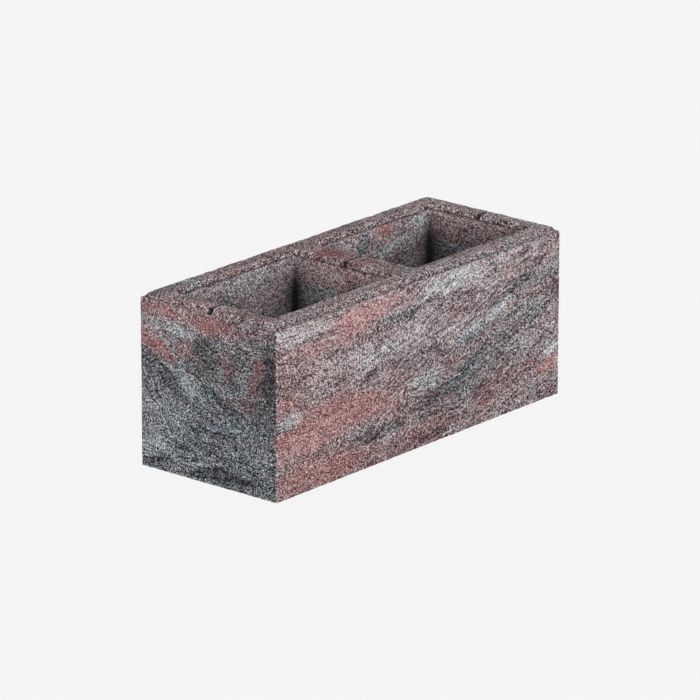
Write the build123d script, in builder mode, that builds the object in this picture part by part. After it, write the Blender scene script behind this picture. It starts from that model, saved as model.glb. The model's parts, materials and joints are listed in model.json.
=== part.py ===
from build123d import *
import math
import os

# A hollow wall block of pressed concrete: two long side walls, two end walls and one web
# around two open cores, all one solid. Millimetres, +Z up, X along the block, and the
# origin at the middle of the underside.

# Outer size
block_length = 500.0
block_width = 200.0
block_height = 203.0
outer_corner_radius = 1.5

# Walls, as thick as they are below the bevels
side_wall = 28.5
end_wall = 28.5
web = 38.0
core_corner_radius = 3.0

# Top edges: round the outside a flat ledge with a bevel rising from it, and round the
# mouth of each core the same bevel alone
ledge_width = 3.5
bevel_run = 3.5
bevel_rise = 5.5

# Marks of the bar that held the cores in the mould, along the middle of the top: a thin
# groove over each cross wall, and a wider notch where it leaves through a bevel
groove_width = 2.5
groove_depth = 4.0
notch_width = 7.0
notch_past_bevel = 1.0

# Values that follow
ledge_height = block_height - bevel_rise
bevel_lean = math.degrees(math.atan2(bevel_run, bevel_rise))
pad_length = block_length - 2 * ledge_width
pad_width = block_width - 2 * ledge_width
core_length = (block_length - 2 * end_wall - web) / 2
core_width = block_width - 2 * side_wall
core_spacing = core_length + web

# Where the bevels of the three cross walls have their feet, along X: each wall has one
# foot on either side, and the right half of the block mirrors the left
web_foot = web / 2
end_wall_foot = block_length / 2 - end_wall
outer_foot = pad_length / 2
bevel_feet = [side * foot for side in (-1, 1) for foot in (web_foot, end_wall_foot, outer_foot)]

# Outline of the two cores, seen from above
with BuildSketch() as core_outlines:
    with GridLocations(core_spacing, 0, 2, 1):
        RectangleRounded(core_length, core_width, core_corner_radius)

with BuildPart() as concrete_block:
    # The body up to the ledge
    with BuildSketch():
        RectangleRounded(block_length, block_width, outer_corner_radius)
    extrude(amount=ledge_height)

    # The raised top inside the ledge, with sides that lean inwards
    with BuildSketch(Plane.XY.offset(ledge_height)):
        Rectangle(pad_length, pad_width)
    extrude(amount=bevel_rise, taper=bevel_lean)

    # The cores go right through
    with BuildSketch():
        add(core_outlines.sketch)
    extrude(amount=block_height, mode=Mode.SUBTRACT)

    # Their mouths open out by the bevel
    with BuildSketch(Plane.XY.offset(ledge_height)):
        add(core_outlines.sketch)
    extrude(amount=bevel_rise, taper=-bevel_lean, mode=Mode.SUBTRACT)

    # One thin groove along the middle crosses the end walls and the web
    with BuildSketch(Plane.XY.offset(block_height - groove_depth)):
        Rectangle(block_length, groove_width)
    extrude(amount=groove_depth, mode=Mode.SUBTRACT)

    # A notch is centred on the foot of each bevel, so its inner half cuts the wall
    with BuildSketch(Plane.XY.offset(ledge_height)):
        with Locations(*[(foot, 0) for foot in bevel_feet]):
            Rectangle(2 * (bevel_run + notch_past_bevel), notch_width)
    extrude(amount=bevel_rise, mode=Mode.SUBTRACT)

concrete_block.part.label = "concrete_block"
os.makedirs("parts", exist_ok=True)
export_step(concrete_block.part, "parts/concrete_block.step")

print(f"cores {core_length:.1f} x {core_width:.1f} mm, ledge at {ledge_height:.1f} mm")
print(f"volume {concrete_block.part.volume / 1000:.1f} cubic centimetres")
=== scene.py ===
# %% [markdown]
# # A hollow concrete block, marbled in brick red, ash grey and slate
#
# The block is one solid piece of pressed concrete. This lesson gives it its surface: a dense
# skin laid exactly over the solid, a fine relief made by Geometry Nodes, and one material whose
# colours are laid out in streaks as the pigmented mix lay in the mould. The lesson first loads
# the solid model as a fixed frame, so every size below can be tested against it.

# %% Load the solid model
import json
import math
from collections import namedtuple

import bmesh
import bpy
import numpy as np
from mathutils import Matrix, Vector
from mathutils.bvhtree import BVHTree

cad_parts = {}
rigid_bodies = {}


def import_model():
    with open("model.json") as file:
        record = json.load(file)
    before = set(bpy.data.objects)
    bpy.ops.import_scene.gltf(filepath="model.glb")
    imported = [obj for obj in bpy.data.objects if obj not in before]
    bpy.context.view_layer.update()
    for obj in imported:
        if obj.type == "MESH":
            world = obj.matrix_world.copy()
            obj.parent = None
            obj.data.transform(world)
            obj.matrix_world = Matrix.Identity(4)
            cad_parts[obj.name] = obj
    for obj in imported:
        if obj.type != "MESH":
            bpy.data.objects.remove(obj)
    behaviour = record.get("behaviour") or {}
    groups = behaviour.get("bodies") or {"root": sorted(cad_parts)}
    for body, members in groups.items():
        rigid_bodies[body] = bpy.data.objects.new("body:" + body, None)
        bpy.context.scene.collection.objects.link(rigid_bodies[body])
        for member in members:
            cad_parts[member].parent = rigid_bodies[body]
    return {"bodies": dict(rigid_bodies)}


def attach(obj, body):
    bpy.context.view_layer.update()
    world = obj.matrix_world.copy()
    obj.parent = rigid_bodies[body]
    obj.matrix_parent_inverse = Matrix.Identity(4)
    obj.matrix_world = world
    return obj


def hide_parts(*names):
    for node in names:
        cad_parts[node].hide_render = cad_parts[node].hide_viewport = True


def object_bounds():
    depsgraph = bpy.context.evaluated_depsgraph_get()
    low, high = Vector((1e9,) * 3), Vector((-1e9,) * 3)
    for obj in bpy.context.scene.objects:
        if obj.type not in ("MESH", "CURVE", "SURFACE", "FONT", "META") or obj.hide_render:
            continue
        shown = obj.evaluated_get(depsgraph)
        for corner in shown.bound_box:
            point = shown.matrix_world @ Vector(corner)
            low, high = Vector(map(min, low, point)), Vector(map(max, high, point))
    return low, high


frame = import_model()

NODE = "concrete_block"
BODY = next(iter(frame["bodies"]))
MM = 0.001
cad_low, cad_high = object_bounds()
print("solid block, mm:", [round(v / MM, 2) for v in (cad_high - cad_low)])

# %% [markdown]
# ## Camera
#
# A picture taken from far away with a long lens keeps upright edges upright and shows hardly any
# perspective. The camera here stands six and a half metres off, looks half-way between the end
# and the long face, and is tilted down by a fifth of a right angle, so that the top and a part of
# each core show.

# %% Camera
camera_azimuth = math.radians(49.88)
camera_elevation = math.radians(18.13)
camera_roll = math.radians(0.07)
camera_distance = 6.5
camera_aim = Vector((-0.0020, 0.0041, 0.0937))
camera_lens = 294.4
camera_sensor = 36.0


def line_of_sight(azimuth, elevation):
    """Which way something looks that stands round the block and looks at it."""
    return Vector((math.sin(azimuth) * math.cos(elevation),
                   math.cos(azimuth) * math.cos(elevation), -math.sin(elevation)))


def put_in_scene(name, data):
    """Makes an object and puts it into the scene."""
    thing = bpy.data.objects.new(name, data)
    bpy.context.scene.collection.objects.link(thing)
    return thing


forward = line_of_sight(camera_azimuth, camera_elevation)
camera_data = bpy.data.cameras.new("camera")
camera_data.lens = camera_lens
camera_data.sensor_width = camera_sensor
camera_data.clip_end = 100.0
camera = put_in_scene("camera", camera_data)
camera.matrix_world = (
    Matrix.Translation(camera_aim - forward * camera_distance)
    @ forward.to_track_quat("-Z", "Y").to_matrix().to_4x4()
    @ Matrix.Rotation(camera_roll, 4, "Z")
)
bpy.context.scene.camera = camera
print("camera stands at", [round(v, 3) for v in camera.matrix_world.translation])

# %% [markdown]
# ## Light, floor and background
#
# The block stands in the plain light of a white room: nearly the same from everywhere, a little
# stronger from the front and rather low. An even world light gives the first part and one large
# soft sun the second. A photograph's pale background can be had with strong lamps, but that would
# bleach the concrete. Here the background's tone is only what the camera, a mirror or a glass
# would see, and it lights nothing. The floor still takes a share of the block's real shadow.

# %% Helpers for node trees
def add_node(tree, kind, inputs=None, **options):
    """Adds a node, sets its options, and fills its inputs with values or with other outputs."""
    node = tree.nodes.new(kind)
    for name, value in options.items():
        setattr(node, name, value)
    for name, value in (inputs or {}).items():
        if isinstance(value, bpy.types.NodeSocket):
            tree.links.new(value, node.inputs[name])
        else:
            node.inputs[name].default_value = value
    return node


def bare_tree(owner):
    """Clears the node tree of a world or a material; the tree."""
    owner.use_nodes = True
    owner.node_tree.nodes.clear()
    return owner.node_tree


def calculate(tree, operation, *values):
    """One Math node; its answer."""
    return add_node(tree, "ShaderNodeMath", dict(enumerate(values)), operation=operation).outputs[0]


def times(tree, first, second):
    """The product of two values."""
    return calculate(tree, "MULTIPLY", first, second)


def seen_directly(tree):
    """1 for the rays of a camera, a mirror and a glass, and 0 for the rays that light things."""
    rays = add_node(tree, "ShaderNodeLightPath").outputs
    camera_or_mirror = calculate(tree, "MAXIMUM", rays["Is Camera Ray"], rays["Is Glossy Ray"])
    return calculate(tree, "MAXIMUM", camera_or_mirror, rays["Is Transmission Ray"])


# %% Room light and soft sun
room_light = 0.64
sun_strength = 2.0
sun_softness = math.radians(26)
sun_azimuth = math.radians(38)
sun_elevation = math.radians(15)
background_tone = 0.913

white = (1.0, 1.0, 1.0, 1.0)
world = bpy.data.worlds.new("room")
sky = bare_tree(world)
room = add_node(sky, "ShaderNodeBackground", {"Color": white, "Strength": room_light})
backdrop = add_node(sky, "ShaderNodeBackground", {"Color": white, "Strength": background_tone})
pick = add_node(sky, "ShaderNodeMixShader",
                {0: seen_directly(sky), 1: room.outputs[0], 2: backdrop.outputs[0]})
add_node(sky, "ShaderNodeOutputWorld", {"Surface": pick.outputs[0]})
bpy.context.scene.world = world

sun_data = bpy.data.lights.new("soft_sun", "SUN")
sun_data.energy = sun_strength
sun_data.angle = sun_softness
sun = put_in_scene("soft_sun", sun_data)
sun_from = -line_of_sight(sun_azimuth, sun_elevation)
sun.rotation_mode = "QUATERNION"
sun.rotation_quaternion = sun_from.to_track_quat("Z", "Y")
print("room light", room_light, "and one soft sun of", sun_strength)

# %% Pale floor
floor_size = 40.0
floor_colour = 0.35
shadow_share = 0.10
lit_floor = floor_colour * (room_light + sun_strength / math.pi * math.sin(sun_elevation))
floor_tone = (background_tone - shadow_share * lit_floor) / (1 - shadow_share)

floor_material = bpy.data.materials.new("pale_floor")
floor_tree = bare_tree(floor_material)
plain_tone = add_node(floor_tree, "ShaderNodeEmission", {"Strength": floor_tone})
matt_floor = add_node(floor_tree, "ShaderNodeBsdfDiffuse", {"Color": (*[floor_colour] * 3, 1.0)})
plain_share = times(floor_tree, seen_directly(floor_tree), 1.0 - shadow_share)
from_above = add_node(floor_tree, "ShaderNodeMixShader",
                      {0: plain_share, 1: matt_floor.outputs[0], 2: plain_tone.outputs[0]})
below = add_node(floor_tree, "ShaderNodeNewGeometry").outputs["Backfacing"]
clear = add_node(floor_tree, "ShaderNodeBsdfTransparent")
either = add_node(floor_tree, "ShaderNodeMixShader",
                  {0: below, 1: from_above.outputs[0], 2: clear.outputs[0]})
add_node(floor_tree, "ShaderNodeOutputMaterial", {"Surface": either.outputs[0]})

half_floor = floor_size / 2
floor_mesh = bpy.data.meshes.new("floor")
floor_mesh.from_pydata(
    [(-half_floor, -half_floor, 0), (half_floor, -half_floor, 0),
     (half_floor, half_floor, 0), (-half_floor, half_floor, 0)],
    [], [(0, 1, 2, 3)])
floor_mesh.materials.append(floor_material)
floor = put_in_scene("floor", floor_mesh)
bpy.context.scene.view_settings.view_transform = "Standard"
print("floor seen at a tone of", background_tone, "and lighting the block at", round(lit_floor, 3))

# %% [markdown]
# ## The block's section
#
# The skin has to follow the solid to a fraction of a millimetre, so it needs the solid's own
# sizes. The outer size is read from the frame. The walls, the web and the top edge are repeated
# here in millimetres, and the skin is measured against the solid further down.

# %% Sizes of the block
length, width, height = [(high - low) / MM for low, high in zip(cad_low, cad_high)]
side_wall = 28.5
end_wall = 28.5
web = 38.0
core_corner_radius = 3.0
outer_corner_radius = 1.5
ledge_width = 3.5
bevel_run = 3.5
bevel_rise = 5.5
bevel_corner_radius = 0.4
groove_width = 2.5
groove_depth = 4.0
notch_width = 7.0
notch_past_bevel = 1.0

ledge_height = height - bevel_rise
top_inset = ledge_width + bevel_run
print("block", round(length, 1), "x", round(width, 1), "x", round(height, 1), "mm")

# %% [markdown]
# ## Stations of the skin
#
# A lattice of small four-sided faces takes relief evenly and never twists, so the skin is laid
# out on lines along X, Y and Z. The lines are close together next to an edge, where the concrete
# is worn and rounded, and about three millimetres apart elsewhere. Each line has two places: one
# on the flat top, inside the bevels, and one on the upright walls below them. Between the two it
# slides by a share.

# %% Stations along X and Y
even_step = 3.05
close_steps = (0.5, 1.2, 2.2, 3.6)
corner_steps = (1.2, 2.6, 4.3, 6.5)
wall_gap = 0.1


def fill(start, stop, step):
    """Evenly spaced values from start to stop, both included, no further apart than step."""
    count = max(1, math.ceil((stop - start) / step - 1e-6))
    return [start + (stop - start) * i / count for i in range(count + 1)]


def span(start, stop, near, step):
    """Values from start to stop with the near offsets at both ends and even steps between."""
    near = [n for n in near if 2 * n < stop - start]
    low = [start + n for n in near]
    high = [stop - n for n in reversed(near)]
    inner = fill(low[-1], high[0], step) if near else fill(start, stop, step)
    values = [start, *low[:-1], *inner, *high[1:], stop] if near else inner
    return sorted(set(round(v, 5) for v in values))


notch_steps = (0.5, notch_past_bevel, notch_past_bevel + wall_gap, 2.2, 3.8)
flat_edges_x = [length / 2 - top_inset, length / 2 - end_wall + bevel_run, web / 2 - bevel_run]
wall_edges_x = [length / 2, length / 2 - end_wall, web / 2]
breaks_top_x = [-x for x in flat_edges_x] + flat_edges_x[::-1]
breaks_low_x = [-x for x in wall_edges_x] + wall_edges_x[::-1]
stretches = zip(breaks_top_x, breaks_top_x[1:], [notch_steps, corner_steps] * 2 + [notch_steps])
top_x = sorted({x for start, stop, near in stretches for x in span(start, stop, near, even_step)})

breaks_top_y = [-width / 2 + top_inset, -width / 2 + side_wall - bevel_run,
                width / 2 - side_wall + bevel_run, width / 2 - top_inset]
breaks_low_y = [-width / 2, -width / 2 + side_wall, width / 2 - side_wall, width / 2]
half_groove, half_notch = groove_width / 2, notch_width / 2
mark_lines = [half_groove - wall_gap, half_groove, half_notch - wall_gap, half_notch]
middle_y = span(breaks_top_y[1], breaks_top_y[2], corner_steps, even_step)
middle_y = [y for y in middle_y if abs(y) > half_notch + 0.5 * even_step]
middle_y += mark_lines + [-y for y in mark_lines]
top_y = sorted(set(
    span(breaks_top_y[0], breaks_top_y[1], close_steps, even_step) + middle_y
    + span(breaks_top_y[2], breaks_top_y[3], close_steps, even_step)))
top_x, top_y = np.array(top_x), np.array(top_y)
low_x = np.interp(top_x, breaks_top_x, breaks_low_x)
low_y = np.interp(top_y, breaks_top_y, breaks_low_y)
print(len(top_x), "lines along X,", len(top_y), "lines along Y")

# %% Levels from the top edge down to the floor
Level = namedtuple("Level", "share height corner_radius edge_distance")
bevel_length = math.hypot(bevel_run, bevel_rise)
bevel_share = bevel_run / top_inset
bevel_parts = (0.12, 0.3, 0.7, 0.88, 1)
ledge_parts = (0.2, 0.6, 0.86)
wall_near = (0.4, 1.0, 1.9, 3.2, 5.2)
deep_step = 5.5
shallow_depth = 75.0

wall_heights = span(0.0, ledge_height, wall_near, even_step)[::-1]
outer_levels = [Level(bevel_share * part, height - bevel_rise * part, bevel_corner_radius,
                      bevel_length * part) for part in bevel_parts]
outer_levels += [Level(bevel_share + (1 - bevel_share) * part, ledge_height,
                       outer_corner_radius * part, ledge_width * (1 - part)) for part in ledge_parts]
outer_levels += [Level(1.0, h, outer_corner_radius, min(h, ledge_height - h))
                 for h in wall_heights if h > 0]

core_levels = [Level(part, height - bevel_rise * part, core_corner_radius + bevel_run * (1 - part),
                     bevel_length * part) for part in bevel_parts]
core_heights = [h for h in wall_heights if ledge_height - shallow_depth < h < ledge_height]
core_heights += [h for h in span(0.0, core_heights[-1], wall_near[:3], deep_step)[::-1]
                 if 0 < h < core_heights[-1]]
core_levels += [Level(1.0, h, core_corner_radius, min(h, bevel_length + ledge_height - h))
                for h in core_heights]
print(len(outer_levels), "levels outside,", len(core_levels), "levels in each core")

# %% [markdown]
# ## Laying the skin
#
# The flat top and the underside are two sheets on the same lines, with two holes. The outer wall
# is a stack of rings from the rim of the top sheet to the rim of the bottom sheet, and each core
# is another such stack. Because all of them share the lines, they join without a seam. Corners
# are rounded by moving the ring's points onto an arc.

# %% Helpers that place the points of the skin
def rounded(x, y, box, radius):
    """Moves a point on the rim of a box onto the box's rounded corner."""
    x0, x1, y0, y1 = box
    cx, cy, hx, hy = (x0 + x1) / 2, (y0 + y1) / 2, (x1 - x0) / 2, (y1 - y0) / 2
    over_x = abs(x - cx) - (hx - radius)
    over_y = abs(y - cy) - (hy - radius)
    if radius <= 0 or over_x <= 0 or over_y <= 0:
        return x, y
    turn = (math.pi / 4 * over_y / radius if over_x >= over_y
            else math.pi / 4 * (2 - over_x / radius))
    return (cx + math.copysign(hx - radius + radius * math.cos(turn), x - cx),
            cy + math.copysign(hy - radius + radius * math.sin(turn), y - cy))


def mark_depth(x, y):
    """How deep the groove and its notches are cut at a point of the flat top."""
    from_edge = min(abs(abs(x) - edge) for edge in flat_edges_x)
    if abs(y) < half_notch - wall_gap / 2 and from_edge < notch_past_bevel + wall_gap / 2:
        return bevel_rise
    if abs(y) < half_groove - wall_gap / 2:
        return groove_depth
    return 0.0


def ring_between(i0, i1, j0, j1):
    """The (i, j) pairs round a rectangle of the lattice, anticlockwise seen from above."""
    return ([(i, j0) for i in range(i0, i1)] + [(i1, j) for j in range(j0, j1)]
            + [(i, j1) for i in range(i1, i0, -1)] + [(i0, j) for j in range(j1, j0, -1)])


columns = [int(np.argmin(abs(top_x - edge))) for edge in breaks_top_x]
rows = [int(np.argmin(abs(top_y - edge))) for edge in breaks_top_y]
cores = [(columns[1], columns[2], rows[1], rows[2]), (columns[3], columns[4], rows[1], rows[2])]
rim = (0, len(top_x) - 1, 0, len(top_y) - 1)


def point_in_core(i, j):
    """Whether a point of the lattice lies in a core's opening."""
    return any(i0 < i < i1 and j0 < j < j1 for i0, i1, j0, j1 in cores)


def cell_in_core(i, j):
    """Whether a cell of the lattice, named by its lowest corner, lies in a core's opening."""
    return any(i0 <= i < i1 and j0 <= j < j1 for i0, i1, j0, j1 in cores)


# %% One flat sheet of the skin
Spot = namedtuple("Spot", "x y z edge")
spots = []
faces = []


def add_spot(x, y, z, edge):
    """Adds a point with its distance from the nearest arris; its number."""
    spots.append(Spot(x, y, z, edge))
    return len(spots) - 1


def sheet(xs, ys, level, rim_radius, core_radius, marked):
    """Places a flat sheet at one height, with its rims rounded; its points by column and row."""
    on_ring = {}
    for i0, i1, j0, j1 in [rim, *cores]:
        radius = rim_radius if (i0, i1, j0, j1) == rim else core_radius
        box = (xs[i0], xs[i1], ys[j0], ys[j1])
        for i, j in ring_between(i0, i1, j0, j1):
            on_ring[i, j] = rounded(xs[i], ys[j], box, radius)
    points = {}
    for i in range(len(xs)):
        for j in range(len(ys)):
            if point_in_core(i, j):
                continue
            x, y = on_ring.get((i, j), (xs[i], ys[j]))
            depth = mark_depth(xs[i], ys[j]) if marked else 0.0
            edges = [xs[-1] - abs(xs[i]), ys[-1] - abs(ys[j])]
            for i0, i1, j0, j1 in cores:
                out_x = max(xs[i0] - xs[i], xs[i] - xs[i1], 0)
                out_y = max(ys[j0] - ys[j], ys[j] - ys[j1], 0)
                edges.append(math.hypot(out_x, out_y))
            points[i, j] = add_spot(x, y, level - depth, min(edges))
    return points


# %% One stack of rings between the two sheets
def wall(ring_box, levels, top_points, low_points, inside):
    """Places a stack of rings. The outer wall faces out, and one inside faces its core."""
    i0, i1, j0, j1 = ring_box
    ring = ring_between(i0, i1, j0, j1)
    stack = [[top_points[ij] for ij in ring]]
    for share, z, radius, edge in levels:
        xs = top_x + (low_x - top_x) * share
        ys = top_y + (low_y - top_y) * share
        box = (xs[i0], xs[i1], ys[j0], ys[j1])
        placed = []
        for i, j in ring:
            x, y = rounded(xs[i], ys[j], box, radius)
            notched = abs(top_y[j]) < half_notch - wall_gap / 2 and i in (i0, i1)
            level = min(z, ledge_height) if notched else z
            corner = math.inf if inside else max(length / 2 - abs(x), width / 2 - abs(y))
            placed.append(add_spot(x, y, level, min(edge, corner)))
        stack.append(placed)
    stack.append([low_points[ij] for ij in ring])
    for upper, lower in zip(stack, stack[1:]):
        for k in range(len(ring)):
            n = (k + 1) % len(ring)
            quad = (lower[k], lower[n], upper[n], upper[k])
            faces.append(quad[::-1] if inside else quad)


# %% Lay the sheets and the walls
mouth_radius = core_corner_radius + bevel_run
top_points = sheet(top_x, top_y, height, bevel_corner_radius, mouth_radius, marked=True)
low_points = sheet(low_x, low_y, 0.0, outer_corner_radius, core_corner_radius, marked=False)
for i in range(len(top_x) - 1):
    for j in range(len(top_y) - 1):
        if not cell_in_core(i, j):
            cell = [(i, j), (i + 1, j), (i + 1, j + 1), (i, j + 1)]
            faces.append([top_points[c] for c in cell])
            faces.append([low_points[c] for c in reversed(cell)])
wall(rim, outer_levels, top_points, low_points, inside=False)
for core_box in cores:
    wall(core_box, core_levels, top_points, low_points, inside=True)
print(len(spots), "points,", len(faces), "faces,", 2 * len(faces), "triangles in the skin")

# %% Make the mesh of the skin
skin_mesh = bpy.data.meshes.new("skin")
skin_mesh.from_pydata([(s.x * MM, s.y * MM, s.z * MM) for s in spots], [], faces)
skin_mesh.validate()
place = np.array([(s.x, s.y, s.z) for s in spots])
edge_distance = np.array([s.edge for s in spots])
distance_layer = skin_mesh.attributes.new("edge_distance", "FLOAT", "POINT")
distance_layer.data.foreach_set("value", edge_distance * MM)
skin = put_in_scene("skin", skin_mesh)

checked = bmesh.new()
checked.from_mesh(skin_mesh)
open_edges = sum(1 for e in checked.edges if len(e.link_faces) != 2)
skin_volume = checked.calc_volume(signed=True)
checked.free()
print("open edges:", open_edges, " volume in litres:", round(skin_volume * 1000, 3))

# %% How far the skin lies from the solid
solid = bpy.data.objects[NODE]
solid_tree = BVHTree.FromPolygons([v.co for v in solid.data.vertices],
                                  [p.vertices for p in solid.data.polygons])


def away_from_solid(mesh):
    """The largest and the mean distance of a mesh's points from the solid, in millimetres."""
    gaps = [solid_tree.find_nearest(v.co)[3] / MM for v in mesh.vertices]
    return round(max(gaps), 3), round(sum(gaps) / len(gaps), 3)


print("skin to solid, largest and mean in mm:", away_from_solid(skin_mesh))

# %% [markdown]
# ## Relief: waves, grain, worn arrises and small chips
#
# Concrete that leaves its mould is never quite flat. Its faces wave a little, coarse grains leave
# low lumps, and the arrises are rounded by handling and have lost small chips. Sculpting that by
# hand would be slow and could not be repeated. It follows a rule, so a Geometry Nodes tree does it:
# four depths are added up at each point and the point moves that far into the block, never out of
# it. The distance to the nearest arris, stored on the skin above, tells the tree where the edges are.

# %% Sizes of the relief, in metres
relief = {
    "Wave size": 0.070, "Wave depth": 0.0003,
    "Lump size": 0.009, "Lump depth": 0.0003,
    "Wear reach": 0.0013, "Wear depth": 0.0005,
    "Chip reach": 0.0050, "Chip size": 0.010, "Chip share": 0.38, "Chip depth": 0.0010,
    "Seed": 5,
}
print("deepest chip, mm:", relief["Chip depth"] / MM)

# %% Tree that presses the relief
noise_low, noise_high = 0.40, 0.70
chip_slope = 0.35


def between(tree, value, low, high, to_low=0.0, to_high=1.0, kind="SMOOTHSTEP"):
    """A step from to_low to to_high while the value goes from low to high."""
    return add_node(tree, "ShaderNodeMapRange",
                    {"Value": value, "From Min": low, "From Max": high,
                     "To Min": to_low, "To Max": to_high}, interpolation_type=kind).outputs["Result"]


def relief_tree():
    """Builds the tree; its inputs are the sizes of each kind of relief and a seed."""
    tree = bpy.data.node_groups.new("concrete_relief", "GeometryNodeTree")
    sockets = tree.interface
    sockets.new_socket("Geometry", in_out="INPUT", socket_type="NodeSocketGeometry")
    for name, value in relief.items():
        kind = "NodeSocketInt" if isinstance(value, int) else "NodeSocketFloat"
        sockets.new_socket(name, in_out="INPUT", socket_type=kind)
    sockets.new_socket("Material", in_out="INPUT", socket_type="NodeSocketMaterial")
    sockets.new_socket("Geometry", in_out="OUTPUT", socket_type="NodeSocketGeometry")
    given = add_node(tree, "NodeGroupInput").outputs

    def blotches(size_name, seed_step, detail):
        """Soft noise from 0 to 1 whose blotches have the size of the named input."""
        seed = calculate(tree, "ADD", given["Seed"], seed_step)
        scale = calculate(tree, "DIVIDE", 1.0, given[size_name])
        noise = add_node(tree, "ShaderNodeTexNoise",
                         {"Vector": spot, "W": seed, "Scale": scale, "Detail": detail},
                         noise_dimensions="4D").outputs[0]
        return between(tree, noise, noise_low, noise_high, kind="LINEAR")

    def near_arris(reach_name):
        """1 on an arris, falling smoothly to 0 at the named reach."""
        return between(tree, distance, 0.0, given[reach_name], 1.0, 0.0)

    spot = add_node(tree, "GeometryNodeInputPosition").outputs[0]
    distance = add_node(tree, "GeometryNodeInputNamedAttribute", {"Name": "edge_distance"},
                        data_type="FLOAT").outputs["Attribute"]
    wave = times(tree, blotches("Wave size", 0.0, 1.0), given["Wave depth"])
    lump = times(tree, blotches("Lump size", 17.0, 2.0), given["Lump depth"])
    worn = times(tree, blotches("Chip size", 31.0, 1.0), given["Wear depth"])
    worn = times(tree, worn, near_arris("Wear reach"))
    chip_from = calculate(tree, "SUBTRACT", 1.0, given["Chip share"])
    chip_to = calculate(tree, "ADD", chip_from, chip_slope)
    chip = between(tree, blotches("Chip size", 53.0, 2.0), chip_from, chip_to)
    chip = times(tree, chip, given["Chip depth"])
    chip = times(tree, chip, near_arris("Chip reach"))
    depth = calculate(tree, "ADD", calculate(tree, "ADD", wave, lump),
                      calculate(tree, "ADD", worn, chip))
    outward = add_node(tree, "GeometryNodeInputNormal").outputs[0]
    inward = add_node(tree, "ShaderNodeVectorMath",
                      {0: outward, "Scale": times(tree, depth, -1.0)},
                      operation="SCALE").outputs[0]
    moved = add_node(tree, "GeometryNodeSetPosition",
                     {"Geometry": given["Geometry"], "Offset": inward})
    whole = add_node(tree, "GeometryNodeRealizeInstances", {0: moved.outputs[0]})
    coloured = add_node(tree, "GeometryNodeSetMaterial",
                        {"Geometry": whole.outputs[0], "Material": given["Material"]})
    add_node(tree, "NodeGroupOutput", {0: coloured.outputs[0]})
    return tree


# %% Press the relief into the skin
concrete = bpy.data.materials.new("marbled_concrete")
tree = relief_tree()
press = skin.modifiers.new("relief", "NODES")
press.node_group = tree
given_values = {**relief, "Material": concrete}
for socket in tree.interface.items_tree:
    if socket.name in given_values:
        press[socket.identifier] = given_values[socket.name]
bpy.context.view_layer.update()
evaluated = bpy.context.evaluated_depsgraph_get()
block_mesh = bpy.data.meshes.new_from_object(
    skin.evaluated_get(evaluated), preserve_all_data_layers=True, depsgraph=evaluated)
block_mesh.name = "block_skin"
bpy.data.objects.remove(skin)
block = put_in_scene("block_skin", block_mesh)
print("pressed skin to solid, largest and mean in mm:", away_from_solid(block_mesh))

# %% Smooth shading, broken at the arrises
arris_angle = math.radians(38)
block_mesh.shade_smooth()
block_mesh.set_sharp_from_angle(angle=arris_angle)
print(len(block_mesh.vertices), "points and", len(block_mesh.polygons), "faces after the relief")

# %% [markdown]
# ## Which face of the block is which
#
# Each mould plate left its own drawing, and the drawing changes sharply at every arris. So the
# colours are laid out face by face, in flat coordinates: along the face, and up it. They are
# stored at the corners of the mesh's faces, where a value may change sharply from one face to the
# next, and not at its points, where it would be smeared across the arris.

# %% Sort the faces by the side of the block they belong to
def of_each_face(what):
    """A normal or a centre for each face of the skin, before the relief."""
    values = np.empty(3 * len(skin_mesh.polygons))
    skin_mesh.polygons.foreach_get(what, values)
    return values.reshape(-1, 3)


nx, ny, nz = of_each_face("normal").T
cx, cy, cz = of_each_face("center").T / MM
leans_up, leans_down = 0.3, -0.5
shell = (abs(cx) > length / 2 - ledge_width / 2) | (abs(cy) > width / 2 - ledge_width / 2)
facing_x = abs(nx) > abs(ny)
is_top = (nz > leans_up) | (cz > ledge_height)
is_bottom = ~is_top & (nz < leans_down)
outer = ~is_top & ~is_bottom & shell
inner = ~is_top & ~is_bottom & ~shell
on_side = {
    "top": is_top,
    "bottom": is_bottom,
    "front": outer & ~facing_x & (cy < 0),
    "back": outer & ~facing_x & (cy > 0),
    "left": outer & facing_x & (cx < 0),
    "right": outer & facing_x & (cx > 0),
    "core_front": inner & ~facing_x & (ny > 0),
    "core_back": inner & ~facing_x & (ny < 0),
    "core_left": inner & facing_x & (nx > 0),
    "core_right": inner & facing_x & (nx < 0),
}
print({name: int(mask.sum()) for name, mask in on_side.items()})

# %% Flat coordinates on each side
second_core = 300


def on_face(side, x, y, z):
    """Places on one side, in millimetres along it and up it; the second core's come further on."""
    if side == "top":
        return x + length / 2, y + width / 2
    if side == "bottom":
        return x + length / 2, width / 2 - y
    if side in ("left", "right"):
        return y + width / 2, z
    if side in ("core_left", "core_right"):
        return y + width / 2 + np.where(x > 0, second_core, 0), z
    return x + length / 2, z


# %% Soft patchy noise for whole faces
Patches = namedtuple("Patches", "amount size_along size_up seed octaves")
finer_share = 0.55
patch_gain = 1.6
patch_margin = 8


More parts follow.
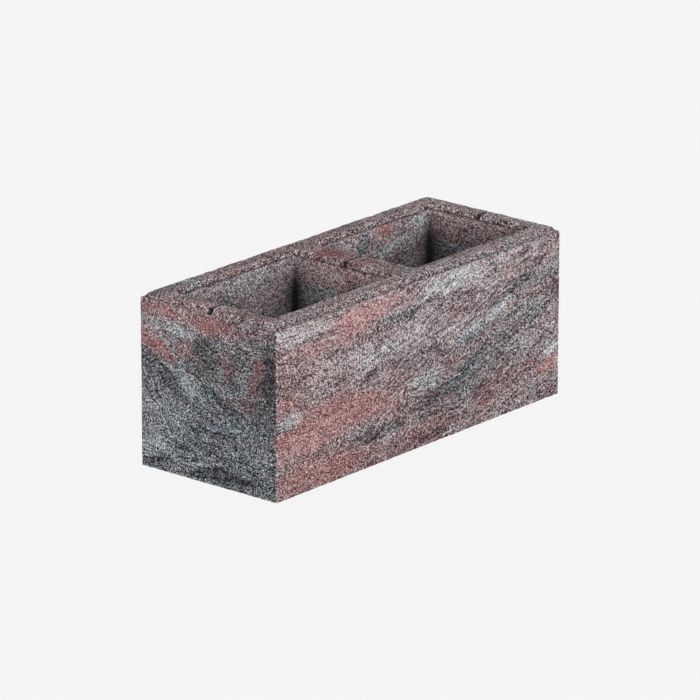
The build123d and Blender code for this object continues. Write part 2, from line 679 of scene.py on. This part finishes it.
def clouds(along, up, size_along, size_up, seed, octaves):
    """Soft noise from about -1 to 1, whose patches are size_along by size_up millimetres."""
    total, weight = 0.0, 0.0
    for octave in range(octaves):
        share = finer_share ** octave
        a = along / size_along * 2 ** octave + patch_margin
        b = up / size_up * 2 ** octave + patch_margin
        columns_a, rows_b = np.floor(a).astype(int), np.floor(b).astype(int)
        grid = np.random.default_rng(seed * 10 + octave).uniform(
            -1, 1, (columns_a.max() + 2, rows_b.max() + 2))
        fa, fb = a - columns_a, b - rows_b
        fa, fb = fa * fa * (3 - 2 * fa), fb * fb * (3 - 2 * fb)
        low = grid[columns_a, rows_b] * (1 - fa) + grid[columns_a + 1, rows_b] * fa
        high = grid[columns_a, rows_b + 1] * (1 - fa) + grid[columns_a + 1, rows_b + 1] * fa
        total = total + share * (low * (1 - fb) + high * fb)
        weight += share
    return total / weight * patch_gain


def with_patches(value, patches, along, up, seed=0):
    """A value with soft patches added to it."""
    for p in patches:
        value = value + p.amount * clouds(along, up, p.size_along, p.size_up, seed + p.seed, p.octaves)
    return value


# %% [markdown]
# ## Streaks of colour
#
# Two pigmented mixes, one brick red and one grey, were only half stirred together before they were
# pressed. They lie in long streaks: level on the left of the long face, and rising gently to the
# right from its middle on. Two numbers describe any place: its tone, from slate or maroon at 0 to
# ash or salmon at 1, and its redness. Noise alone would give streaks anywhere, so the ones that
# show in the picture are listed one by one, and softened and frayed by noise. A streak goes from
# start to stop along the face and from low to high up it, in millimetres. It changes the tone and
# the redness by the shares given, and may tilt by some degrees. Faces that no picture shows get
# streaks of the same kinds, drawn by a seeded chance.

# %% Streaks that show: the long face
Streak = namedtuple("Streak", "start stop low high tone red tilt", defaults=(0.0,))
front_streaks = [Streak(*row) for row in (
    # The first two rows are painted light and shade: they make the long face lighter along its top and
    # darker along its foot.
    (-60, 560, 155, 235, 0.18, 0),
    (-60, 560, -40, 60, -0.12, 0),
    (200, 460, 0, 100, -0.06, 0, 8),
    (205, 420, 36, 84, -0.25, -0.05, 8),
    (290, 450, 80, 118, -0.12, 0, 12),
    (338, 402, 150, 196, 0.35, 0),
    (-50, 140, 0, 125, 0, 0.14),
    (-150, 240, -40, 250, 0, 0.16),
    (50, 110, 120, 175, 0.15, 0.15),
    (45, 108, 92, 124, 0.3, -0.1),
    (195, 285, 114, 160, 0.4, -0.15),
    (370, 520, 112, 160, 0, -0.25, 12),
    (290, 460, 36, 84, 0, -0.2, 12),
    (-10, 92, 175, 199, 0.5, -0.4),
    (90, 218, 168, 197, 0.26, 0.8, 2),
    (98, 150, 158, 174, 0.15, 0.6, 4),
    (163, 178, 147, 170, -0.55, -0.1),
    (165, 300, 160, 171, -0.45, -0.3, 2),
    (214, 246, 154, 170, -0.55, -0.4),
    (242, 368, 168, 199, 0.8, -0.35, 2),
    (50, 118, 124, 146, 0.3, -0.2),
    (105, 222, 113, 148, 0.62, -0.3),
    (70, 112, 146, 155, -0.35, -0.2),
    (0, 90, 154, 172, 0.1, 0.35, -3),
    (-10, 60, 118, 140, -0.25, 0.1, -4),
    (98, 125, 110, 119, -0.5, -0.2),
    (158, 180, 104, 119, -0.5, -0.3, 15),
    (180, 300, 102, 114, -0.3, -0.1, 2),
    (-8, 42, 100, 115, 0.2, 0.75),
    (-8, 50, 81, 97, 0.5, -0.7, 4),
    (28, 215, 56, 98, 0.12, 0.72, -7),
    (-20, 110, 42, 80, 0.15, 0.55),
    (75, 98, 69, 77, 0.35, -0.4),
    (85, 150, 40, 50, 0.1, -0.4),
    (120, 225, 31, 44, -0.7, -0.5, 2),
    (-20, 180, -5, 36, 0.15, 0.65),
    (170, 220, 24, 33, 0.3, -0.1),
    (-5, 12, 20, 36, 0.4, -0.5),
    (180, 330, 2, 30, -0.15, 0.35, 3),
    (240, 310, 5, 18, -0.4, -0.2, 4),
    (225, 285, 66, 88, 0.35, -0.4, 8),
    (240, 312, 38, 66, -0.4, -0.35, 14),
    (298, 362, 60, 88, -0.4, -0.45, 16),
    (350, 440, 84, 108, -0.4, -0.25, 15),
    (420, 500, 106, 124, -0.4, -0.3, 8),
    (290, 380, 100, 116, -0.5, -0.4, 12),
    (300, 425, 114, 134, 0.5, -0.4, 15),
    (270, 350, 118, 136, 0.3, -0.2, 10),
    (385, 490, 124, 142, -0.1, 0.35, 12),
    (328, 348, 155, 167, -0.5, -0.2),
    (365, 388, 172, 186, -0.5, -0.2, 20),
    (383, 405, 184, 196, 0.5, -0.3, 20),
    (383, 420, 163, 180, 0.1, 0.5, 12),
    (340, 500, 140, 160, -0.25, -0.2, 14),
    (420, 500, 168, 200, -0.15, 0, 16),
    (478, 505, 128, 152, -0.5, 0.2),
    (400, 505, 72, 86, 0.35, -0.2, 10),
    (320, 460, 20, 62, -0.15, 0.3, 10),
    (456, 498, 47, 70, 0.8, -0.45, 12),
    (445, 505, 26, 50, 0.3, 0.8, 8),
    (305, 348, 24, 34, 0.5, -0.4, 8),
    (340, 400, 10, 44, 0.1, 0.25, 35),
    (390, 440, 6, 16, 0.35, 0, 8),
    (450, 505, 0, 12, -0.3, 0),
    (288, 312, 132, 150, 0.1, 0.3),
)]

# %% Streaks that show: the short face and the top
left_streaks = [Streak(*row) for row in (
    (115, 225, 140, 220, 0.32, -0.05),
    (100, 225, 95, 150, 0.05, -0.15),
    (38, 88, 112, 158, -0.3, -0.12),
    (-8, 48, 74, 122, -0.45, 0),
    (105, 220, 36, 84, 0.05, -0.05),
    (-20, 100, -10, 88, -0.12, 0),
    (45, 210, 178, 200, 0.15, 0.95),
    (50, 125, 168, 190, 0.2, 0.8),
    (-5, 60, 178, 200, 0, 0.45),
    (148, 215, 172, 206, -0.15, 0.5),
    (125, 162, 160, 182, 0.5, -0.3),
    (150, 205, 130, 166, 0.1, 1.0, 30),
    (160, 212, 140, 165, 0.1, 0.9),
    (126, 150, 134, 164, 0.15, 0.6),
    (85, 126, 120, 172, -0.45, -0.1),
    (52, 86, 122, 166, 0, 0.6),
    (2, 20, 108, 190, -1.0, -0.4),
    (-14, 9, 84, 195, -0.6, 0.1),
    (14, 36, 112, 170, -0.2, 0.85),
    (130, 210, 96, 128, -0.55, -0.3, 35),
    (90, 150, 62, 92, -0.08, -0.2, 32),
    (90, 152, 86, 118, 0.35, -0.2, 35),
    (40, 95, 84, 112, -0.25, 0.2),
    (30, 60, 92, 112, 0, 0.5),
    (115, 205, 56, 86, 0.2, -0.6),
    (130, 205, 38, 52, 0.1, 0.5, -14),
    (130, 205, 16, 42, 0.4, -0.5, -22),
    (90, 165, 30, 44, -0.45, -0.3, -10),
    (128, 165, 24, 36, -0.1, 0.5, -10),
    (150, 210, 2, 16, -0.65, -0.4, -8),
    (23, 150, 5, 19, -0.75, -0.6, -4),
    (75, 175, 14, 24, 0.3, -0.2, -6),
    (83, 103, 53, 63, -0.1, 0.7),
    (-10, 10, 66, 84, 0.1, 0.8),
    (-12, 18, -20, 72, -0.2, 0.2),
    (-30, 230, -20, 112, -0.05, -0.6),
)]
top_streaks = [Streak(*row) for row in (
    (-60, 560, -6, 26, 0.15, -0.1),
    (226, 274, 20, 170, -0.18, 0.25),
    (-60, 560, 170, 210, -0.12, 0),
    (367, 403, 4, 22, 0.1, 0.4),
    (237, 267, 113, 150, 0, 0.7),
    (133, 150, 176, 192, 0.05, 0.5),
    (60, 80, 176, 190, 0.35, -0.2),
    (317, 363, 176, 192, -0.3, -0.3),
    (4, 24, 20, 180, 0.15, 0.2),
    (476, 496, 40, 75, 0.1, -0.1),
    (476, 496, 110, 140, -0.25, 0),
    (60, 230, 8, 16, -0.2, 0),
    (270, 480, 14, 30, -0.35, 0),
    (15, 95, 174, 196, -0.35, -0.5),
    (4, 30, 15, 90, -0.3, 0),
    (245, 270, 20, 42, -0.3, -0.4),
)]
core_back_streaks = [Streak(*row) for row in (
    (30, 110, 178, 200, 0.1, 0),
    (100, 122, 160, 186, -0.3, -0.3, 20),
    (125, 175, 170, 200, 0.1, -0.2),
    (300, 342, 180, 196, 0.3, 0.1),
    (340, 362, 168, 192, -0.45, -0.6, 20),
    (368, 396, 181, 195, 0.1, 0.9),
    (378, 445, 160, 176, 0.4, -0.5, 14),
    (392, 430, 170, 184, -0.35, 0.1, 20),
    (436, 470, 180, 199, 0.4, -0.5, 20),
    (385, 440, 144, 160, -0.4, -0.2),
    (20, 240, 60, 150, -0.1, 0.1),
    (270, 480, 60, 140, -0.1, 0.1),
)]
core_right_streaks = [Streak(*row) for row in (
    (100, 172, 141, 169, 0.05, -1.0),
    (28, 110, 160, 182, -0.1, 0.1),
    (30, 120, 184, 200, 0, 0.2),
    (300, 500, 120, 205, -0.35, 0),
    (400, 472, 138, 164, -0.15, -1.0),
    (330, 400, 165, 190, 0.1, 0.2),
    (20, 180, 20, 130, -0.1, -0.1),
    (320, 480, 20, 120, -0.1, 0.1),
)]


# %% Streaks by chance for the faces that no picture shows
salmon, slate, ash, maroon = (0.12, 0.70), (-0.45, -0.40), (0.45, -0.35), (-0.20, 0.35)
kinds = [salmon, slate, ash, maroon, salmon]
broad_ranges = (60, 150), (13, 26), (0.4, 0.8)
thin_ranges = (18, 75), (4, 11), (0.5, 1.1)
lean_range = (0.6, 1.2)


def chance_streaks(seed, count, span_along, span_up, tilt):
    """Streaks of the chosen kinds in turn: a third of them broad, and the rest thin on top."""
    chance = np.random.default_rng(seed)
    streaks = []
    for number in range(count):
        halves, talls, strengths = broad_ranges if number < count // 3 else thin_ranges
        half, tall = chance.uniform(*halves), chance.uniform(*talls)
        along, up = chance.uniform(0, span_along), chance.uniform(0, span_up)
        strength = chance.uniform(*strengths)
        tone, red = (strength * part for part in kinds[number % len(kinds)])
        lean = tilt * chance.uniform(*lean_range) * min(1, 2 * along / span_along)
        streaks.append(Streak(along - half, along + half, up - tall, up + tall, tone, red, lean))
    return streaks


# %% Every side of the block
# Marbling and grain are shares of their full strength. The streaks rise from lift_from along the
# side on, as steeply as lift_low says at its foot and lift_high further up.
Side = namedtuple("Side", "tone red marbling grain lift_from lift_low lift_high streaks")
back_streaks = chance_streaks(11, 60, length, height, 13)
right_streaks = chance_streaks(12, 26, width, height, 14)
bottom_streaks = chance_streaks(13, 16, length, width, 4)
core_front_streaks = chance_streaks(14, 22, length, height, 10)
core_left_streaks = chance_streaks(16, 20, length, height, 10)
sides = {
    "front": Side(0.448, 0.41, 1.0, 1.05, 140, 0.22, 0.30, front_streaks),
    "left": Side(0.405, 0.14, 0.65, 0.88, 40, -0.14, 0.45, left_streaks),
    "top": Side(0.355, 0.44, 0.3, 1.15, 0, 0.0, 0.0, top_streaks),
    "back": Side(0.46, 0.34, 1.0, 1.0, 140, 0.20, 0.28, back_streaks),
    "right": Side(0.42, 0.26, 0.9, 0.9, 40, 0.10, 0.30, right_streaks),
    "bottom": Side(0.43, 0.36, 0.6, 0.9, 0, 0.0, 0.0, bottom_streaks),
    "core_front": Side(0.50, 0.36, 0.6, 0.85, 120, 0.15, 0.15, core_front_streaks),
    "core_back": Side(0.535, 0.36, 0.5, 0.82, 120, 0.25, 0.25, core_back_streaks),
    "core_left": Side(0.52, 0.46, 0.6, 0.85, 40, 0.10, 0.10, core_left_streaks),
    "core_right": Side(0.56, 0.50, 0.5, 0.85, 40, 0.10, 0.10, core_right_streaks),
}
print({name: len(side.streaks) for name, side in sides.items()})

# %% Tone and redness at a place
streak_tone, streak_red = 0.37, 0.66
streak_full, streak_end = 0.45, 1.25
fray_along = [Patches(10.0, 30, 16, 100, 3)]
fray_up = [Patches(5.0, 40, 9, 120, 3)]
tone_patches = [Patches(0.03, 75, 20, 140, 2), Patches(0.04, 24, 6, 160, 2)]
red_patches = [Patches(0.04, 90, 24, 180, 2), Patches(0.05, 28, 8, 190, 2)]
waves = [Patches(9.0, 110, 60, 230, 2)]
full_lift_up = 140


def smooth_step(low, high, value):
    """0 up to low and 1 from high on, with a smooth rise between."""
    t = np.clip((value - low) / (high - low), 0, 1)
    return t * t * (3 - 2 * t)


def lift_of(side, along, up):
    """How far the streaks have risen at a place, for level streaks to be drawn out along them."""
    steepness = side.lift_low + (side.lift_high - side.lift_low) * smooth_step(0, full_lift_up, up)
    return with_patches(steepness * np.maximum(along - side.lift_from, 0), waves, along, up)


def lay(side_name, along, up, level):
    """Tone and redness at places on one side, where level is the place's height less its lift."""
    side = sides[side_name]
    seed = list(sides).index(side_name)
    frayed_along = with_patches(along, fray_along, along, level, seed)
    frayed_up = with_patches(up, fray_up, along, level, seed)
    tone = with_patches(side.tone, tone_patches, along, level, seed)
    red = with_patches(side.red, red_patches, along, level, seed)
    for s in side.streaks:
        from_middle = frayed_along - (s.start + s.stop) / 2
        rise = frayed_up - (s.low + s.high) / 2 - math.tan(math.radians(s.tilt)) * from_middle
        reach = np.hypot(from_middle / (s.stop - s.start) * 2, rise / (s.high - s.low) * 2)
        amount = 1 - smooth_step(streak_full, streak_end, reach)
        tone = tone + streak_tone * s.tone * amount
        red = red + streak_red * s.red * amount
    return np.clip(tone, 0, 1), np.clip(red, 0, 1)


# %% Lay the colours on every side
# Light threads show less in the red mix, and the sides lie apart in the wisps' noise.
marbling_reds, marbling_share = [0.15, 0.80], [1.35, 0.45]
side_spacing = 100.0
corner_point = np.empty(len(block_mesh.loops), dtype=int)
block_mesh.loops.foreach_get("vertex_index", corner_point)
corner_face = np.repeat(np.arange(len(block_mesh.polygons)), 4)
tone, redness, marbling, grain = np.zeros((4, len(corner_point)))
flow = np.zeros((len(corner_point), 3))
for number, (name, mask) in enumerate(on_side.items()):
    corners = np.flatnonzero(mask[corner_face])
    side = sides[name]
    along, up = on_face(name, *place[corner_point[corners]].T)
    level = up - lift_of(side, along, up)
    tone[corners], redness[corners] = lay(name, along, up, level)
    marbling[corners] = side.marbling * np.interp(redness[corners], marbling_reds, marbling_share)
    grain[corners] = side.grain
    flow[corners] = np.stack([along, level, np.full(len(corners), side_spacing * number)], 1) * MM


def keep_at_corners(name, values):
    """Stores one value, or one place, for each corner of the mesh's faces."""
    kind, field = ("FLOAT", "value") if values.ndim == 1 else ("FLOAT_VECTOR", "vector")
    layer = block_mesh.attributes.new(name, kind, "CORNER")
    layer.data.foreach_set(field, values.ravel())


for name, values in (("tone", tone), ("redness", redness), ("marbling", marbling),
                     ("grain", grain), ("flow", flow)):
    keep_at_corners(name, values)
print("tone from", round(tone.min(), 2), "to", round(tone.max(), 2),
      " redness from", round(redness.min(), 2), "to", round(redness.max(), 2))

# %% [markdown]
# ## Painted shade in the corners
#
# Shade is painted into the concrete's colour where little light reaches: broadly in the upright
# corners of the cores and darkest in their creases, under the core mouths' bevels, in the groove and
# its notches, lighter on the notches' side walls, and along the foot of the bevel on the ledge, more
# on the long faces than on the ends. A shader could look for such places with its own ambient
# occlusion, but that is slow and finds only what is nearest. Here the places are known, so the
# painted shade is worked out from the distance to each corner.

# %% Work out the painted shade
# Strengths and reaches of the painted shade.
painted_shade_front_ledge, painted_shade_left_ledge = 0.36, 0.10
ledge_rim_share, painted_shade_bevel = 0.5, 0.10
painted_shade_mouth_line, mouth_line_width, mouth_line_drop = 0.80, 1.3, 0.3
painted_shade_corner, corner_reach, corner_full_depth = 1.05, 25.0, 52.0
painted_shade_crease, crease_reach, crease_full_depth = 0.38, 3.0, 10.0
painted_shade_recess, painted_shade_notch_side, recess_from = 0.95, 0.45, 0.3

x, y, z = place.T
inset = np.minimum(length / 2 - abs(x), width / 2 - abs(y))
on_short_side = length / 2 - abs(x) < width / 2 - abs(y)
# Painted shade along the ledge at the foot of the bevel, stronger on the long faces than on the ends.
painted_shade_ledge = np.where(on_short_side, painted_shade_left_ledge, painted_shade_front_ledge)
painted_shade_rim = np.interp(inset, [0, ledge_width, ledge_width + 0.5 * bevel_run, top_inset],
                      [ledge_rim_share, 1.0, painted_shade_bevel / painted_shade_front_ledge, 0]) * painted_shade_ledge
painted_shade = np.where(z > ledge_height - wall_gap, painted_shade_rim, 0)
# Painted shade in the upright corners of the cores, darkest in their creases and growing with depth.
core_middle = (length / 2 - end_wall + web / 2) / 2
core_half_x, core_half_y = (length / 2 - end_wall - web / 2) / 2, width / 2 - side_wall
to_corner = np.maximum(core_half_x - abs(abs(x) - core_middle), core_half_y - abs(y))
in_cores = ((inset > side_wall - bevel_run) & (abs(x) > web / 2 - bevel_run)
            & (z < height - wall_gap))
for amount, reach, full_depth in ((painted_shade_corner, corner_reach, corner_full_depth),
                                  (painted_shade_crease, crease_reach, crease_full_depth)):
    painted_shade += np.where(in_cores, amount * np.exp(-to_corner / reach)
                      * smooth_step(0, full_depth, height - z), 0)
# A painted dark line of shade along the foot of the core mouths' bevels.
foot_line = 1 - smooth_step(0.3 * mouth_line_width, mouth_line_width,
                            abs(z - ledge_height + mouth_line_drop))
painted_shade = np.maximum(painted_shade, np.where(in_cores, painted_shade_mouth_line * foot_line, 0))
# Painted shade in the groove and its notches, lighter on the notches' side walls.
in_recess = (is_top & (abs(cy) < half_notch)
             & (cz < height - recess_from) & (cz > ledge_height - wall_gap))
painted_shade_at_corners = painted_shade[corner_point]
on_notch_side = in_recess & (abs(cy) > half_notch - wall_gap)
painted_shade_at_corners[in_recess[corner_face]] = painted_shade_recess
painted_shade_at_corners[on_notch_side[corner_face]] = painted_shade_notch_side
keep_at_corners("painted_shade", painted_shade_at_corners)
print("points with grime:", int((painted_shade > 0.1).sum()))
print("faces in the groove and notches:", int(in_recess.sum()))

# %% [markdown]
# ## Marbled concrete
#
# Seen close, the concrete is not one colour anywhere. It is sand and fine stone, a millimetre or
# two across, each grain a little lighter, darker or redder than its neighbour, in a coloured
# paste. So the material starts from the tone and redness laid on each face, bends them with thin
# wisps that run along the streaks, and then gives each grain its own share of both. Only at the
# end are the two numbers turned into a colour: the tone picks one grey and one red, each from a row
# of five, and the redness blends the two. The same grains drive the roughness and the bump, so that
# what looks like a grain also catches the light like one.

# %% Colours of the mix
def as_light(red, green, blue):
    """A colour given in 0 to 255 as a screen shows it, as the light that Blender works with."""
    parts = [part / 255 for part in (red, green, blue)]
    return *[p / 12.92 if p <= 0.04045 else ((p + 0.055) / 1.055) ** 2.4 for p in parts], 1.0


greys = [as_light(*parts) for parts in (
    (2, 5, 10), (50, 55, 61), (104, 109, 115), (161, 166, 170), (228, 233, 237))]
reds = [as_light(*parts) for parts in (
    (56, 5, 8), (98, 45, 47), (145, 98, 98), (191, 152, 151), (246, 213, 211))]
# The near-black that painted shade darkens the concrete towards.
painted_shade_colour = as_light(34, 31, 32)

# %% Helpers for the concrete
paint = bare_tree(concrete)
on_block = add_node(paint, "ShaderNodeTexCoord").outputs["Object"]


def stored(name, output="Fac"):
    """A value that the mesh carries."""
    return add_node(paint, "ShaderNodeAttribute", attribute_name=name).outputs[output]


def add_up(first, *others):
    """The sum of several outputs."""
    total = first
    for other in others:
        total = calculate(paint, "ADD", total, other)
    return total


def swing(value, amount):
    """Turns a value from 0 to 1 into one from -amount to amount."""
    return calculate(paint, "MULTIPLY_ADD", value, 2.0 * amount, -amount)


def wisps(along_mm, up_mm, detail, distortion, layer):
    """Noise drawn out along the streaks, its wisps along_mm long and up_mm thick."""
    stretch = (1 / (along_mm * MM), 1 / (up_mm * MM), 73.0)
    drawn = add_node(paint, "ShaderNodeVectorMath",
                     {0: stored("flow", "Vector"), 1: stretch, 2: (0.0, 0.0, layer)},
                     operation="MULTIPLY_ADD").outputs[0]
    return add_node(paint, "ShaderNodeTexNoise",
                    {"Vector": drawn, "Scale": 1.0, "Detail": detail, "Distortion": distortion}
                    ).outputs[0]


def soft_noise(size_mm, detail):
    """Noise that is the same in every direction, its patches size_mm across."""
    return add_node(paint, "ShaderNodeTexNoise",
                    {"Vector": on_block, "Scale": 1 / (size_mm * MM), "Detail": detail}).outputs[0]


def grains(size_mm):
    """Grains of one size: a random colour for each, and the distance from its middle."""
    cells = add_node(paint, "ShaderNodeTexVoronoi",
                     {"Vector": on_block, "Scale": 1 / (size_mm * MM)}).outputs
    parts = add_node(paint, "ShaderNodeSeparateColor", {0: cells["Color"]}).outputs
    return parts, cells["Distance"]


def blend(amount, first, second):
    """Mixes two colours."""
    return add_node(paint, "ShaderNodeMix", {0: amount, 6: first, 7: second},
                    data_type="RGBA", clamp_factor=False).outputs[2]


def ramp(value, colours):
    """A colour from a row of evenly spaced ones, picked by a value from 0 to 1."""
    node = add_node(paint, "ShaderNodeValToRGB", {"Fac": value})
    stops = node.color_ramp.elements
    while len(stops) < len(colours):
        stops.new(0.5)
    for number, colour in enumerate(colours):
        stops[number].position = number / (len(colours) - 1)
        stops[number].color = colour
    return node.outputs["Color"]


# %% Tone and redness of every grain
sand_size, stone_size, paste_size, wear_patch = 1.05, 2.7, 0.7, 7.0
sand_contrast, stone_contrast, paste_contrast = 0.64, 0.02, 0.06
long_wisp, dark_thread, light_thread = 0.10, 0.31, 0.23
thread_from, thread_to = 0.55, 0.67
sand_redness, wisp_redness = 0.10, 0.56
middle_redness, red_evenness = 0.4, 0.40
least_red, most_red = -0.12, 1.15
wear_width, wear_tone = 1.8 * MM, 0.07

sand, sand_middle = grains(sand_size)
stone, _ = grains(stone_size)
paste = soft_noise(paste_size, 1.0)
on_arris = between(paint, stored("edge_distance"), 0.0, wear_width, 1.0, 0.0)
wear = times(paint, on_arris, between(paint, soft_noise(wear_patch, 2.0), 0.42, 0.60))
sand_share = calculate(paint, "MULTIPLY_ADD", stored("redness"), -red_evenness,
                       1.0 + middle_redness * red_evenness)
sand_tone = times(paint, swing(sand[0], sand_contrast), sand_share)
dark_lines = wisps(32, 2.6, detail=2.0, distortion=0.5, layer=3.1)
light_lines = wisps(28, 2.4, detail=2.0, distortion=0.5, layer=7.7)
threads = add_up(
    between(paint, dark_lines, thread_from, thread_to, 0.0, -dark_thread),
    between(paint, light_lines, thread_from, thread_to, 0.0, light_thread))
tone_here = add_up(
    stored("tone"),
    swing(wisps(38, 6, detail=3.0, distortion=0.8, layer=0.0), long_wisp),
    times(paint, threads, stored("marbling")),
    times(paint, sand_tone, stored("grain")),
    swing(stone[0], stone_contrast),
    swing(paste, paste_contrast),
    times(paint, wear, wear_tone))
red_here = add_up(
    stored("redness"),
    swing(wisps(22, 3.8, detail=3.0, distortion=0.85, layer=5.3), wisp_redness),
    swing(sand[1], sand_redness))
red_here = calculate(paint, "MAXIMUM", calculate(paint, "MINIMUM", red_here, most_red), least_red)
grey_mix = ramp(tone_here, greys)
red_mix = ramp(tone_here, reds)
unshaded_colour = blend(red_here, grey_mix, red_mix)
# Painted shade in the corners, creases and recesses darkens the colour towards that near-black.
concrete_colour = blend(stored("painted_shade"), unshaded_colour, painted_shade_colour)

# %% Grains that catch the light
sand_height, paste_height, pit_depth = 0.35 * MM, 0.20 * MM, 0.45 * MM
bump_strength, shine = 0.55, 0.30
least_rough, rough_range = 0.80, 0.16

domes = times(paint, between(paint, sand_middle, 0.15, 0.75, 1.0, 0.0), sand_height)
roughened = times(paint, paste, paste_height)
pits = times(paint, between(paint, stone[1], 0.04, 0.10, -1.0, 0.0), pit_depth)
relief_height = add_up(domes, roughened, pits)
caught = add_node(paint, "ShaderNodeBump",
                  {"Height": relief_height, "Strength": bump_strength, "Distance": 1.0})
matt = calculate(paint, "MULTIPLY_ADD", sand[2], rough_range, least_rough)
surface = add_node(paint, "ShaderNodeBsdfPrincipled",
                   {"Base Color": concrete_colour, "Roughness": matt,
                    "Normal": caught.outputs[0], "Specular IOR Level": shine})
add_node(paint, "ShaderNodeOutputMaterial", {"Surface": surface.outputs[0]})
print(len(paint.nodes), "nodes in the concrete")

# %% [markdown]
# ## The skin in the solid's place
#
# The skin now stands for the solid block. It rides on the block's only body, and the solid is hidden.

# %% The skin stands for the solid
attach(block, BODY)
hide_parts(NODE)
